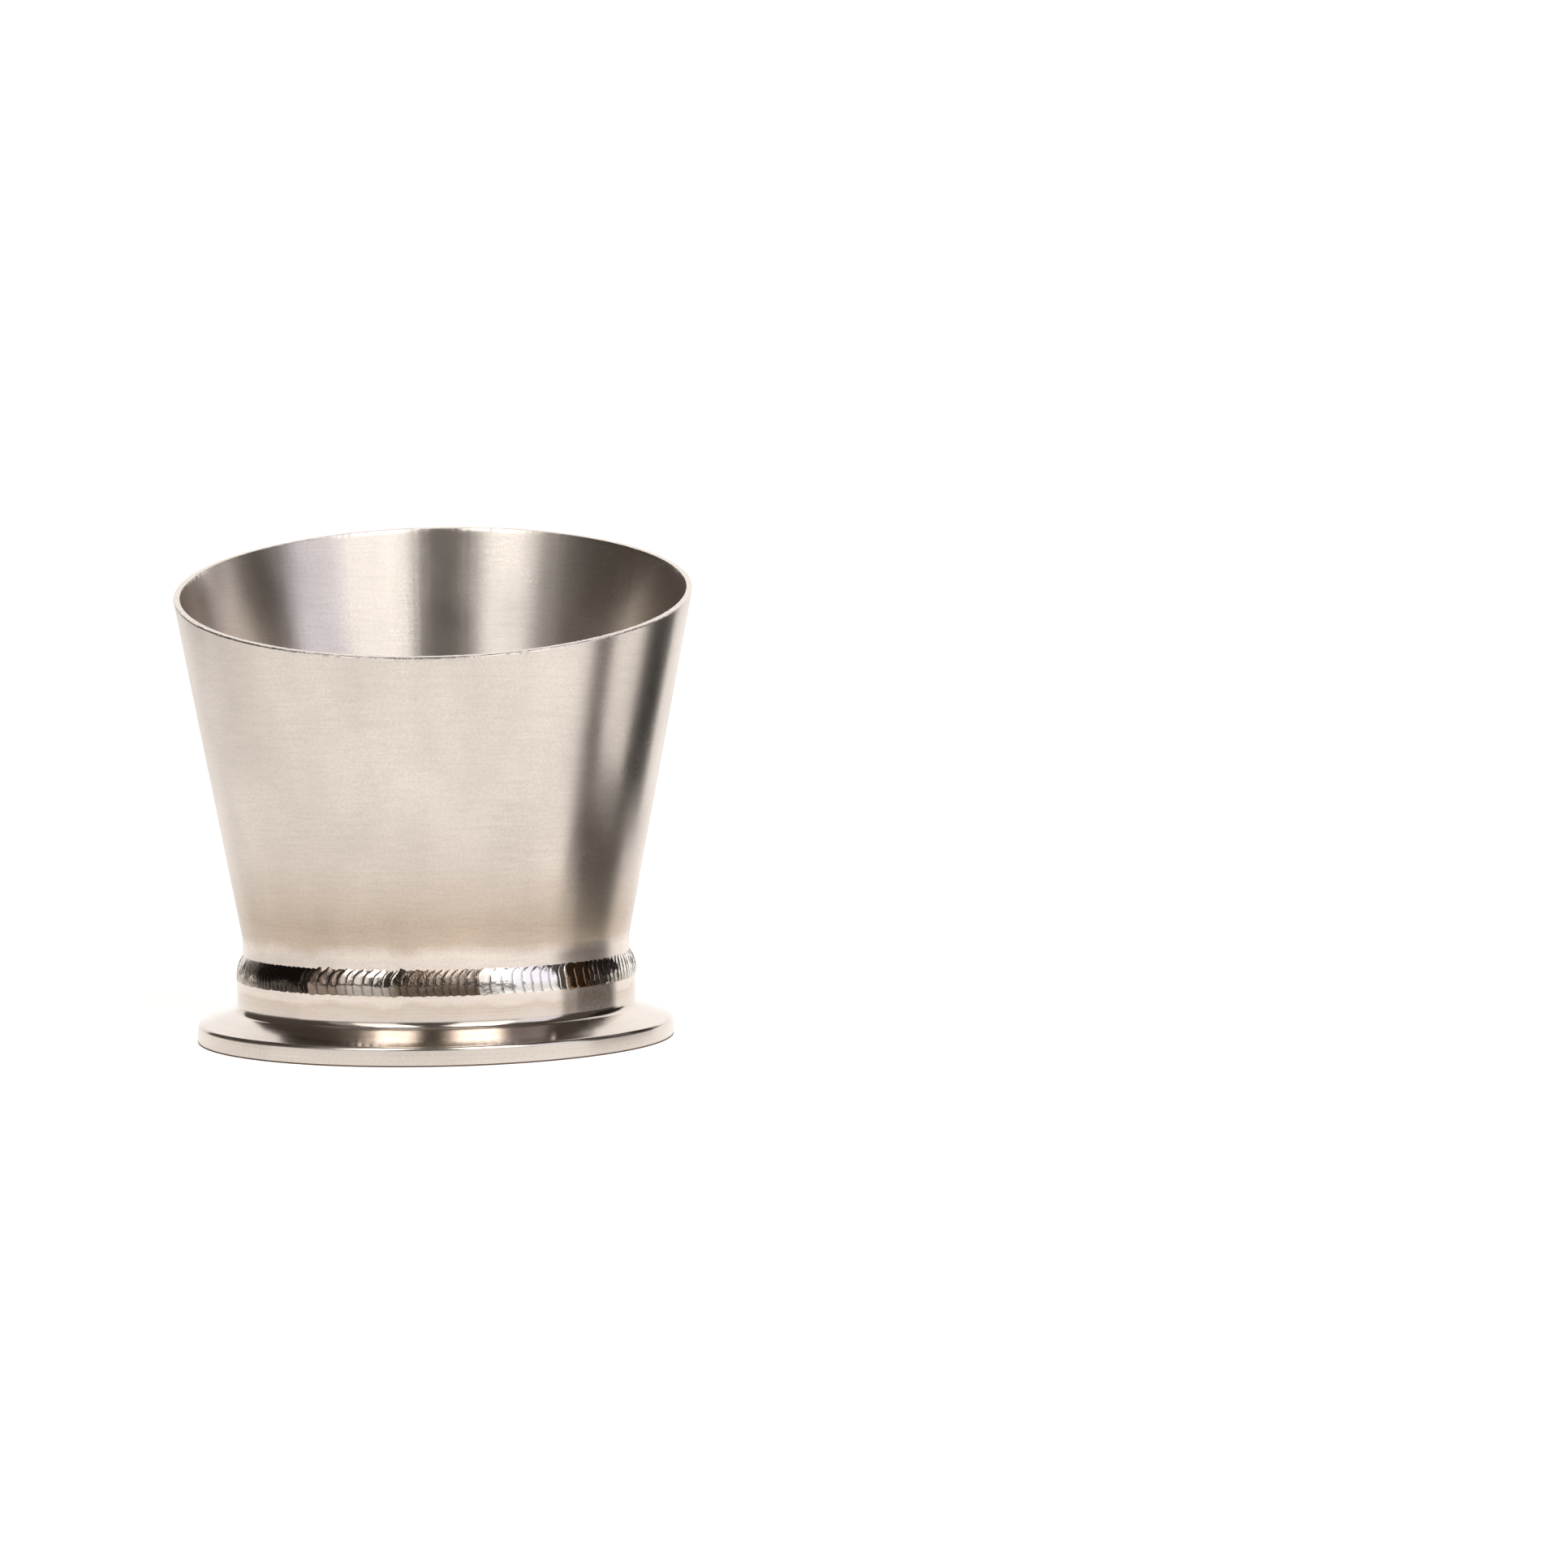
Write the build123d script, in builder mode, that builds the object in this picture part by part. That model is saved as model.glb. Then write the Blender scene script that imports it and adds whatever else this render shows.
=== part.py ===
"""Conical reducer with a slanted mouth: a clamp ferrule welded to a thin sheet cone.

Sizes are in millimetres. The origin is the centre of the clamp face and +Z runs up the bore, towards
the cone. The mouth is highest at +Y and lowest at -Y. Angles round the weld are in degrees,
anticlockwise from -Y, seen from above.
"""

from build123d import *
from math import radians, tan
import os

# Clamp ferrule
neck_diameter = 76.2
neck_wall = 2.35
flange_width = 7.35  # how far the flange stands out of the neck, all round
rim_thickness = 3.4
clamp_taper = 20.0  # degrees, the back of the flange
ferrule_length = 14.4
neck_fillet = 1.6
rim_edge_radius = 0.8
face_edge_break = 0.3
groove_inset = 3.8  # from the flange's rim to the middle of the gasket groove
groove_width = 4.4
groove_depth = 1.6

# Sheet cone
cone_wall = 1.2
cone_half_angle = 10.7  # degrees
cuff_length = 4.4  # the straight stretch at the small end
bend_radius = 12.0
mouth_height = 85.9  # where the mouth's plane crosses the bore's axis, above the clamp face
mouth_tilt = 16.0  # degrees, up towards +Y
lip_edge_radius = 0.15
trim_allowance = 5.0  # extra cone that the slanted cut takes off

# Weld between them
root_gap = 0.4
bevel_height = 2.4  # the ferrule's weld edge thins from the neck to the sheet's own thickness
cuff_lap = 1.5  # how far the bead laps onto the cuff
crown_height = 0.25  # bead over the straight line from toe to toe
run_starts = [-33, 16, 43, 92, 141, 190, 238, 283]  # where the welder started each run

neck_radius = neck_diameter / 2
bore_radius = neck_radius - neck_wall
flange_radius = neck_radius + flange_width
cuff_radius = bore_radius + cone_wall  # the cone is flush with the bore inside
cone_start = ferrule_length + root_gap
bend_height = cone_start + cuff_length
cone_slope = tan(radians(cone_half_angle))
mouth_slope = tan(radians(mouth_tilt))


def highest_mouth_point():
    """Where the cone's outside, followed upwards on its +Y side, meets the mouth's plane."""
    radius_at_origin = cuff_radius - cone_slope * bend_height
    return (mouth_height + mouth_slope * radius_at_origin) / (1 - mouth_slope * cone_slope)


def bulge(start, end, height):
    """The middle of an arc from start to end that rises by height to the right of the line."""
    chord = Vector(*end) - Vector(*start)
    outwards = Vector(chord.Y, -chord.X).normalized()
    return (Vector(*start) + Vector(*end)) / 2 + outwards * height


def finish_piece(piece, name):
    """Names a piece and writes it to its own file."""
    piece.label = name
    export_step(piece, f"parts/{name}.step")


os.makedirs("parts", exist_ok=True)

taper_rise = flange_width * tan(radians(clamp_taper))
groove_arc_radius = (groove_width**2 / 4 + groove_depth**2) / (2 * groove_depth)
with BuildPart() as ferrule:
    with BuildSketch(Plane.XZ) as ferrule_section:
        with BuildLine():
            Polyline(
                (bore_radius, 0),
                (flange_radius, 0),
                (flange_radius, rim_thickness),
                (neck_radius, rim_thickness + taper_rise),
                (neck_radius, ferrule_length - bevel_height),
                (cuff_radius, ferrule_length),
                (bore_radius, ferrule_length),
                close=True,
            )
        make_face()
        corners = ferrule_section.vertices().group_by(Axis.X)
        neck_base = corners[-2].sort_by(Axis.Y)[0]
        face_edge, rim_edge = corners[-1].sort_by(Axis.Y)
        fillet(neck_base, neck_fillet)
        fillet(rim_edge, rim_edge_radius)
        chamfer(face_edge, face_edge_break)
        # The round-bottomed ring that a gasket's bead sits in
        with Locations((flange_radius - groove_inset, groove_depth - groove_arc_radius)):
            Circle(groove_arc_radius, mode=Mode.SUBTRACT)
    revolve(axis=Axis.Z)
finish_piece(ferrule.part, "clamp_ferrule")

blank_height = highest_mouth_point() + trim_allowance
blank_radius = cuff_radius + (blank_height - bend_height) * cone_slope
mouth_plane = Plane((0, 0, mouth_height)).rotated((mouth_tilt, 0, 0))
with BuildPart() as cone:
    with BuildSketch(Plane.XZ):
        with BuildLine():
            FilletPolyline(
                (cuff_radius, cone_start),
                (cuff_radius, bend_height),
                (blank_radius, blank_height),
                radius=bend_radius,
            )
            offset(amount=cone_wall, side=Side.LEFT)
        make_face()
    revolve(axis=Axis.Z)
    split(bisect_by=mouth_plane, keep=Keep.BOTTOM)
    lip = cone.faces().sort_by(Axis(mouth_plane.origin, mouth_plane.z_dir))[-1]
    fillet(lip.edges(), lip_edge_radius)
finish_piece(cone.part, "reducer_cone")

# The bead fills the joint, crowned outside and flush with the bore
neck_toe = (neck_radius, ferrule_length - bevel_height)
cuff_toe = (cuff_radius, cone_start + cuff_lap)
with BuildSketch(Plane.XZ) as weld_section:
    with BuildLine():
        ThreePointArc(neck_toe, bulge(neck_toe, cuff_toe, crown_height), cuff_toe)
        Polyline(
            cuff_toe,
            (cuff_radius, cone_start),
            (bore_radius, cone_start),
            (bore_radius, ferrule_length),
            (cuff_radius, ferrule_length),
            neck_toe,
        )
    make_face()

run_ends = run_starts[1:] + [run_starts[0] + 360]
for number, (start, end) in enumerate(zip(run_starts, run_ends), 1):
    run_section = weld_section.sketch.rotate(Axis.Z, start - 90)
    with BuildPart() as weld_run:
        revolve(run_section, axis=Axis.Z, revolution_arc=end - start)
    finish_piece(weld_run.part, f"weld_run_{number}")
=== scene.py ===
# %% [markdown]
# # A welded stainless reducer with a slanted mouth
#
# The object is a short pipe fitting: a lathe-turned clamp ferrule, a thin sheet cone, and a hand-laid
# ring weld that joins the two. The CAD model holds every size. This notebook gives the fitting its
# looks: it models each piece again as a clean mesh, lays the ripples of the weld, and finishes the
# three kinds of steel.

import bisect
import math
import random

import bmesh
import bpy
from mathutils import Matrix, Vector, noise


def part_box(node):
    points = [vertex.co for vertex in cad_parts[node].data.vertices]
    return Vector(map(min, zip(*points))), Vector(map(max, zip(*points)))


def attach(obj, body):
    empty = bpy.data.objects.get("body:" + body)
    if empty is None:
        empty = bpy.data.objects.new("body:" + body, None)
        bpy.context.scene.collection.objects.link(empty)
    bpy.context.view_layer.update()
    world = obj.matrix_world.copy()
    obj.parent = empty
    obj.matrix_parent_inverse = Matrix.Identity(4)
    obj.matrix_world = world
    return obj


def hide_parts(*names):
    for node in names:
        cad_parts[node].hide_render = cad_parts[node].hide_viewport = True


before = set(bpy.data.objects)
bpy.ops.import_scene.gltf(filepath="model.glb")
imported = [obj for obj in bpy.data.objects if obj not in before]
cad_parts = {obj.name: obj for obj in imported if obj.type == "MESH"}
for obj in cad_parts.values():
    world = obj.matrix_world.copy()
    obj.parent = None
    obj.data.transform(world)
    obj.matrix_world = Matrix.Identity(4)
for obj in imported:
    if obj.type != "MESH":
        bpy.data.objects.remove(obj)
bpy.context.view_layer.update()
MM = 0.001

# %% [markdown]
# ## Sizes, read from the frame
#
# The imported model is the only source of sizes. A ring's radius is half its box, and where two pieces
# meet, the meeting height is the end of one of their boxes. A few small sizes can't be read from a
# box, such as a fillet, so they are named here with the value that the design gives them.

# %% Sizes
run_count = 8
ferrule_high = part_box("clamp_ferrule")[1]
cone_low, cone_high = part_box("reducer_cone")
weld_boxes = [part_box(f"weld_run_{number}") for number in range(1, run_count + 1)]

flange_radius = ferrule_high.x
ferrule_length = ferrule_high.z
cone_start = cone_low.z
neck_toe_height = weld_boxes[0][0].z  # where the bead meets the neck
cuff_toe_height = weld_boxes[0][1].z  # where it meets the cone's cuff
neck_radius = max(high.x for low, high in weld_boxes)

neck_wall = 2.35 * MM
sheet = 1.2 * MM
rim_thickness = 3.4 * MM
clamp_taper = math.radians(20)
neck_fillet = 1.6 * MM
rim_edge_radius = 0.8 * MM
face_edge_break = 0.3 * MM
groove_radius = flange_radius - 3.8 * MM
groove_width = 4.4 * MM
groove_depth = 1.6 * MM
cone_angle = math.radians(10.7)
cuff_length = 4.4 * MM
bend_radius = 12 * MM
mouth_height = 85.9 * MM
mouth_tilt = math.radians(16)

bore_radius = neck_radius - neck_wall
cuff_radius = bore_radius + sheet
bend_height = cone_start + cuff_length
print("neck", round(neck_radius / MM, 2), "bore", round(bore_radius / MM, 2), "mm radius")

# %% [markdown]
# ## Turning a profile
#
# The ferrule and the cone are both bodies of revolution, so both start the way a turner thinks of
# them: half of a section, spun round the axis. A plane is added and merged to a single point, the
# point is extruded from corner to corner, corners are rounded by a vertex bevel, and the line is
# spun. A cylinder primitive could be scaled and inset to the same shape, but then each step of the
# profile is a separate cut, and the section can't be read off the code.


# %% Start a profile
same_place = 0.01 * MM  # two places nearer than this are one


def deselect_everything():
    """An operator acts on all that is selected, and the loaded nodes start out selected."""
    if bpy.context.object and bpy.context.object.mode == "EDIT":
        bpy.ops.object.mode_set(mode="OBJECT")
    bpy.ops.object.select_all(action="DESELECT")


def start_profile(name, radius, height):
    """A new piece in edit mode, with one selected point in the XZ plane."""
    deselect_everything()
    bpy.ops.mesh.primitive_plane_add(size=MM, location=(radius, 0, height))
    piece = bpy.context.object
    piece.name = piece.data.name = name
    bpy.ops.object.transform_apply(location=True)
    bpy.ops.object.mode_set(mode="EDIT")
    bpy.context.tool_settings.mesh_select_mode = (True, False, False)
    bpy.ops.mesh.select_all(action="SELECT")
    bpy.ops.mesh.merge(type="CENTER")
    return piece


def draw_through(points):
    """Extrudes the selected point through the rest of the points, given as (radius, height)."""
    for (r0, z0), (r1, z1) in zip(points, points[1:]):
        bpy.ops.mesh.extrude_vertices_move(
            TRANSFORM_OT_translate={"value": (r1 - r0, 0, z1 - z0)}
        )


# %% Pick by place
def pick(piece, kind, test):
    """Selects the "verts" or "edges" whose middle passes the test, and nothing else."""
    mesh = bmesh.from_edit_mesh(piece.data)
    bpy.ops.mesh.select_all(action="DESELECT")
    bpy.context.tool_settings.mesh_select_mode = [kind == "verts", kind == "edges", False]
    chosen = 0
    for item in getattr(mesh, kind):
        middle = item.co if kind == "verts" else (item.verts[0].co + item.verts[1].co) / 2
        if test(item, middle):
            item.select_set(True)
            chosen += 1
    mesh.select_flush_mode()
    bmesh.update_edit_mesh(piece.data)
    return chosen


# %% Round, close and turn
def fillet_reach(radius, turn_angle):
    """How far a fillet reaches along each side of a corner where the line turns by that angle."""
    return radius * math.tan(turn_angle / 2)


def round_corner(piece, radius, height, offset, segments):
    """A vertex bevel on the profile's corner at that place."""
    corner = Vector((radius, 0, height))
    pick(piece, "verts", lambda item, at: (at - corner).length < same_place)
    bpy.ops.mesh.bevel(offset=offset, segments=segments, affect="VERTICES", profile=0.5)


def close_profile(piece, first, last):
    """Joins the two ends of the profile with an edge."""
    ends = [Vector((first[0], 0, first[1])), Vector((last[0], 0, last[1]))]
    pick(piece, "verts", lambda item, at: min((at - end).length for end in ends) < same_place)
    bpy.ops.mesh.edge_face_add()


def turn(piece, steps):
    """Spins the whole profile once round the Z axis and welds the seam."""
    bpy.ops.mesh.select_all(action="SELECT")
    bpy.ops.mesh.spin(steps=steps, angle=math.tau, center=(0, 0, 0), axis=(0, 0, 1))
    bpy.ops.mesh.select_all(action="SELECT")
    bpy.ops.mesh.remove_doubles(threshold=same_place / 10)
    bpy.ops.mesh.normals_make_consistent(inside=False)


# %% Finish a piece
def finish_piece(piece, smooth_angle):
    """Leaves edit mode and shades smoothly over every edge flatter than that many degrees."""
    bpy.ops.object.mode_set(mode="OBJECT")
    bpy.ops.object.shade_smooth_by_angle(angle=math.radians(smooth_angle))
    triangles = sum(len(face.vertices) - 2 for face in piece.data.polygons)
    mesh = bmesh.new()
    mesh.from_mesh(piece.data)
    loose = sum(not edge.is_manifold for edge in mesh.edges)
    mesh.free()
    print(piece.name, "has", triangles, "triangles and", loose, "open edges")


# %% [markdown]
# ## The clamp ferrule
#
# On the real object this is one turned piece: a flat rim with a softly rounded top edge, a back that
# tapers at 20 degrees so that a clamp can pull it down, a small concave fillet, and a short neck whose
# end is bevelled for the weld. A round groove for a gasket is cut in the face underneath. The groove
# is drawn as part of the profile, as a form tool would leave it.

# %% Gasket groove
groove_arc = (groove_width**2 / 4 + groove_depth**2) / (2 * groove_depth)
groove_half_angle = math.asin(groove_width / 2 / groove_arc)
groove_steps = 12
groove = []
for step in range(groove_steps + 1):
    around = groove_half_angle * (2 * step / groove_steps - 1)
    depth = groove_depth - groove_arc * (1 - math.cos(around))
    groove.append((groove_radius + groove_arc * math.sin(around), depth))
print("the groove is an arc of", round(groove_arc / MM, 2), "mm radius")

# %% Turn the ferrule
taper_top = rim_thickness + (flange_radius - neck_radius) * math.tan(clamp_taper)
ferrule_points = [
    (bore_radius, 0),
    *groove,
    (flange_radius - face_edge_break, 0),
    (flange_radius, face_edge_break),
    (flange_radius, rim_thickness),
    (neck_radius, taper_top),
    (neck_radius, neck_toe_height),
    (cuff_radius, ferrule_length),
    (bore_radius, ferrule_length),
]
ferrule = start_profile("ferrule", *ferrule_points[0])
draw_through(ferrule_points)
close_profile(ferrule, ferrule_points[0], ferrule_points[-1])
rim_reach = fillet_reach(rim_edge_radius, math.pi / 2 - clamp_taper)
neck_reach = fillet_reach(neck_fillet, math.pi / 2 - clamp_taper)
round_corner(ferrule, flange_radius, rim_thickness, rim_reach, segments=6)
round_corner(ferrule, neck_radius, taper_top, neck_reach, segments=8)
turn(ferrule, steps=288)
finish_piece(ferrule, smooth_angle=20)  # the weld bevel's edge stays sharp

# %% [markdown]
# ## The sheet cone
#
# The real cone is 1.2 mm sheet, pressed with a short straight cuff, then sawn off at 16 degrees. The
# same steps make it here: the sheet's section is drawn and spun taller than it needs to be, bisected
# by the mouth's plane, and the two cut edges of the wall are bridged to close the lip. The slant then
# comes out exactly as the saw would leave it, which no stretched cylinder gives.

# %% Press the cone
lean = Vector((math.sin(cone_angle), math.cos(cone_angle)))
trim_allowance = 6 * MM  # extra cone for the saw to take off
blank_top = cone_high.z + trim_allowance
bend = Vector((cuff_radius, bend_height))
outer_top = bend + lean * ((blank_top - bend_height) / lean.y)
inner_bend = Vector((bore_radius, bend_height + sheet * math.tan(cone_angle / 2)))
inner_top = outer_top + sheet * Vector((-lean.y, lean.x))
cone_points = [
    (cuff_radius, cone_start),
    tuple(bend),
    tuple(outer_top),
    tuple(inner_top),
    tuple(inner_bend),
    (bore_radius, cone_start),
]
cone = start_profile("sheet_cone", *cone_points[0])
draw_through(cone_points)
close_profile(cone, cone_points[0], cone_points[-1])
round_corner(cone, *bend, fillet_reach(bend_radius, cone_angle), segments=6)
round_corner(cone, *inner_bend, fillet_reach(bend_radius + sheet, cone_angle), segments=6)
turn(cone, steps=720)
print("the blank is", round(blank_top / MM, 1), "mm tall")

# %% [markdown]
# One cut takes off everything above the mouth's plane, and the two cut edges are bridged. A second
# cut, a little below the first, removes nothing. It only gives the long faces of the wall a clean
# edge, so that the dressed lip above it doesn't pull at their shading.

# %% Saw the mouth
mouth_normal = Vector((0, -math.sin(mouth_tilt), math.cos(mouth_tilt)))
mouth_centre = Vector((0, 0, mouth_height))
bpy.ops.mesh.select_all(action="SELECT")
bpy.ops.mesh.bisect(plane_co=mouth_centre, plane_no=mouth_normal, clear_outer=True)
cut_edges = pick(cone, "edges", lambda item, at: item.is_boundary)
bpy.ops.mesh.bridge_edge_loops()
bpy.ops.mesh.select_all(action="SELECT")
lip_band = 0.9 * MM  # how far below the mouth the second cut is
bpy.ops.mesh.bisect(plane_co=mouth_centre - lip_band * mouth_normal, plane_no=mouth_normal)
bpy.ops.mesh.select_all(action="SELECT")
bpy.ops.mesh.normals_make_consistent(inside=False)
print("the saw cut", cut_edges, "edges")

# %% [markdown]
# The sawn lip was dressed with a file: the edges are broken, the outer one by a quarter of a
# millimetre, and the file has left small nicks. A bevel breaks the edges, and then each point of the
# lip sinks a little along the mouth's normal, by a noise that is fine along the edge.


# %% Find the lip's edges
def depth_below_mouth(point):
    """How deep a point lies below the mouth's plane."""
    return -(point - mouth_centre).dot(mouth_normal)


def on_lip_edge(item, outside):
    """Whether an edge lies along the rim of the flat lip, on the outer or on the inner side."""
    flat = same_place / 2
    if max(abs(depth_below_mouth(vertex.co)) for vertex in item.verts) > flat:
        return False
    middles = [face.calc_center_median() for face in item.link_faces]
    walls = [middle for middle in middles if depth_below_mouth(middle) > flat]
    if not walls:
        return False
    wall = walls[0]
    middle_radius = bend.x + math.tan(cone_angle) * (wall.z - bend.y) - sheet / 2
    return (math.hypot(wall.x, wall.y) > middle_radius) == outside


# %% Dress the lip
outer_break = 0.26 * MM
inner_break = 0.10 * MM
for outside, size in ((True, outer_break), (False, inner_break)):
    edges = pick(cone, "edges", lambda item, at: on_lip_edge(item, outside))
    bpy.ops.mesh.bevel(offset=size, segments=2, affect="EDGES")
    print("broke", edges, "edges by", round(size / MM, 2), "mm")

# %% Nick the lip
nick_size = 0.9 * MM
fine_nick_size = 0.4 * nick_size
nick_depth = 0.12 * MM
nicked_depth = 0.3 * MM  # how far below the mouth the file reached
mesh = bmesh.from_edit_mesh(cone.data)
for vertex in mesh.verts:
    if depth_below_mouth(vertex.co) < nicked_depth:
        roughly = noise.noise(vertex.co / nick_size)
        finely = noise.noise(vertex.co / fine_nick_size)
        depth = max(0.0, roughly - 0.1) + 0.5 * max(0.0, finely)
        vertex.co -= mouth_normal * nick_depth * depth
bmesh.update_edit_mesh(cone.data)
finish_piece(cone, smooth_angle=20)

# %% [markdown]
# ## Colour
#
# Colours are written as they look on a screen, in hex. A shader works with amounts of light, so one
# function turns the first into the second. It comes before the weld, because each run of the weld
# carries its own tint on its mesh.


# %% Hex to linear light
def linear(hex_colour):
    """An sRGB hex colour as the linear values that a shader wants."""
    channels = []
    for start in (1, 3, 5):
        value = int(hex_colour[start : start + 2], 16) / 255
        channels.append(value / 12.92 if value <= 0.04045 else ((value + 0.055) / 1.055) ** 2.4)
    return (*channels, 1.0)


# %% [markdown]
# ## The ring weld
#
# A hand weld is laid a puddle at a time. Each puddle freezes as a thin scale whose rear edge is an
# arc, and the next scale laps over it, so the bead reads as a row of stacked coins. Each time the
# welder stops and moves round the work, a new run begins with a crater.
#
# The bead could be a bump map, but its outline is scalloped where the scales end, so it has to be
# real shape. A run is spun from the bead's section in fine steps, and every point of its crown is
# then lifted by how far it lies behind the rear edge of its own scale.

# %% Bead section
toe_low = Vector((neck_radius, neck_toe_height))
toe_high = Vector((cuff_radius, cuff_toe_height))
chord = toe_high - toe_low
crown_height = 0.25 * MM
crown_steps = 26
outwards = Vector((chord.y, -chord.x)).normalized()
crown = []
for step in range(crown_steps + 1):
    along = step / crown_steps
    rise = crown_height * 4 * along * (1 - along)
    crown.append(tuple(toe_low + chord * along + outwards * rise))
weld_points = [
    *crown,
    (cuff_radius, cone_start),
    (bore_radius, cone_start),
    (bore_radius, ferrule_length),
    (cuff_radius, ferrule_length),
]


def chord_radius(height):
    """The bead's radius at a height if it were flat from toe to toe."""
    return toe_low.x + chord.x * (height - toe_low.y) / chord.y


# %% [markdown]
# The ripples differ from run to run, as the welder's pace does: some runs are quick and fine, some
# slow and coarse, and one slows down as it goes. So each run has the pitch of its ripples at its start
# and at its end, how high they stand, how much fuller than the plain bead it is, and how far the
# scales fan out at the upper toe, all in millimetres. It also has its tints at its start, middle and
# end, and how much of it is frosted. The tints are the heat tint that the run froze with, except the
# second run's near-white middle and end, which are a painted reflection of a soft box.

# %% Run styles
run_styles = [
    # start, end, first pitch, last pitch, lift, crown, fan, tints (heat tint, and in the second run a
    # painted reflection), frost at the start and the end
    (-33, 16, 1.75, 1.5, 0.19, 0.28, 0.40, ("#8C7C70", "#B4AAA1", "#7B7067"), (0.34, 0.62)),
    # the second run's near-white middle and end tints are a painted reflection of a soft box
    (16, 43, 1.7, 1.9, 0.05, 0.06, 0.14, ("#C4BCB4", "#F2EEE9", "#EFEAE4"), (0.30, 0.22)),
    (43, 92, 1.5, 1.6, 0.08, 0.10, 0.20, ("#8C7258", "#C8BFB6", "#E2DBD4"), (0.40, 0.50)),
    (92, 141, 1.4, 1.6, 0.12, 0.15, 0.25, ("#8A7C70", "#D2CAC2", "#B4AAA1"), (0.30, 0.40)),
    (141, 190, 1.8, 1.5, 0.13, 0.22, 0.30, ("#A08A74", "#B9B0A7", "#857A70"), (0.40, 0.55)),
    (190, 238, 1.1, 1.5, 0.11, 0.10, 0.20, ("#C4BCB4", "#E4DED7", "#C8BFB6"), (0.25, 0.35)),
    (238, 283, 1.5, 1.2, 0.12, 0.18, 0.26, ("#93795F", "#C0B6AC", "#B4AAA1"), (0.36, 0.45)),
    (283, 327, 0.8, 1.35, 0.13, 0.08, 0.16, ("#DAD3CB", "#D2CAC2", "#47403A"), (0.62, 0.20)),
]


# %% [markdown]
# A run keeps a list of the places where its scales begin, worked out once from its pitch with a
# little chance in it. The chance is seeded with the run's number, so the weld is the same each time.

# %% One run
pitch_chance = (0.8, 1.25)  # a scale's length, as a share of the pitch at its place
height_chance = (0.6, 1.4)  # a scale's height, as a share of the run's lift
first_puddle = 2.3 * MM  # the two puddles that start a run are long ones
first_height = 1.5
first_tint_reach = (9.5 * MM, 5.5 * MM)  # from a run's start, where its first tint is gone and is full
last_tint_reach = (18 * MM, 14 * MM)  # the same from its end, for the last tint


def smooth(low, high, value):
    """0 at low, 1 at high, an even S between them, and flat past both."""
    share = min(1.0, max(0.0, (value - low) / (high - low)))
    return share * share * (3 - 2 * share)


class Run:
    """One run of weld: where it starts and ends, and where the rear edge of each scale lies."""

    def __init__(self, number, start, end, first_pitch, last_pitch, lift, crown, fan, tints_and_painted_reflection, frost):
        self.name = f"weld_bead_{number}"
        self.node = f"weld_run_{number}"
        self.start, self.end = math.radians(start), math.radians(end)
        self.length = (self.end - self.start) * neck_radius
        self.lift, self.crown, self.fan = lift * MM, crown * MM, fan * MM
        self.tints_and_painted_reflection = [Vector(linear(tint)[:3]) for tint in tints_and_painted_reflection]
        self.frost = frost
        dice = random.Random(number)
        self.edges, self.heights = [0.0], [first_height]
        while self.edges[-1] < self.length + 3 * MM:
            done = min(1.0, self.edges[-1] / self.length)
            pitch = (first_pitch + (last_pitch - first_pitch) * done) * MM
            step = pitch * dice.uniform(*pitch_chance)
            if len(self.edges) < 3:
                step = first_puddle
            self.edges.append(self.edges[-1] + step)
            self.heights.append(dice.uniform(*height_chance))

    def scale_at(self, distance):
        """Which scale that distance falls on, as its share (0 at the rear edge) and its height."""
        index = bisect.bisect_right(self.edges, distance) - 1
        share = (distance - self.edges[index]) / (self.edges[index + 1] - self.edges[index])
        return share, self.heights[index]

    def finish_at(self, distance):
        """The tint and the frost at that distance along the run."""
        first = smooth(*first_tint_reach, distance)
        last = smooth(*last_tint_reach, self.length - distance)
        tint = self.tints_and_painted_reflection[1].lerp(self.tints_and_painted_reflection[0], first).lerp(self.tints_and_painted_reflection[2], last)
        return tint, self.frost[0] + (self.frost[1] - self.frost[0]) * last


# %% The ring of runs
runs = [Run(number, *style) for number, style in enumerate(run_styles, 1)]
ring_length = math.tau * neck_radius
ring_start = runs[0].start


def find_run(distance):
    """The run at that distance round the ring, and how far along the run it is."""
    distance %= ring_length
    for run in runs:
        if distance < run.length:
            return run, distance
        distance -= run.length
    return runs[-1], runs[-1].length


print("scales in each run:", [len(run.edges) - 1 for run in runs])

# %% [markdown]
# A scale's rear edge is bowed, so near its toes it trails behind. The bow is taken off a point's
# distance round the ring before its run is looked up. So the first scale of a run laps over the end
# of the run before it in an arc, although each run is its own piece with a straight cut between them.

# %% Ripple sizes
bow_up = 1.3 * MM  # how far a scale's rear edge trails at the upper toe
bow_down = 0.4 * MM  # and at the lower toe
edge_wander, edge_wander_length = 0.2 * MM, 2.5 * MM  # a scale's rear edge isn't quite even
wave_height, wave_length = 0.08 * MM, 4 * MM  # slow swells along the whole ring
lump_height, lump_size = 0.12 * MM, 1.1 * MM  # frosted metal froze lumpy
crater_length, crater_depth = 2.2 * MM, 0.16 * MM  # where a run ends
toe_drop = 0.25 * MM  # how far the metal wets down the neck
toe_swell = 0.04 * MM  # and how thick it lies there
toe_scallop, ragged_length = 0.14 * MM, 1.2 * MM  # how uneven the lower toe is
steepness = 0.42  # below 1, a scale rises fast at its rear edge and falls slowly to the next
hidden_finish = (0.5, 0.48, 0.45, 0.3)  # for the root, which lies inside the joint
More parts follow.
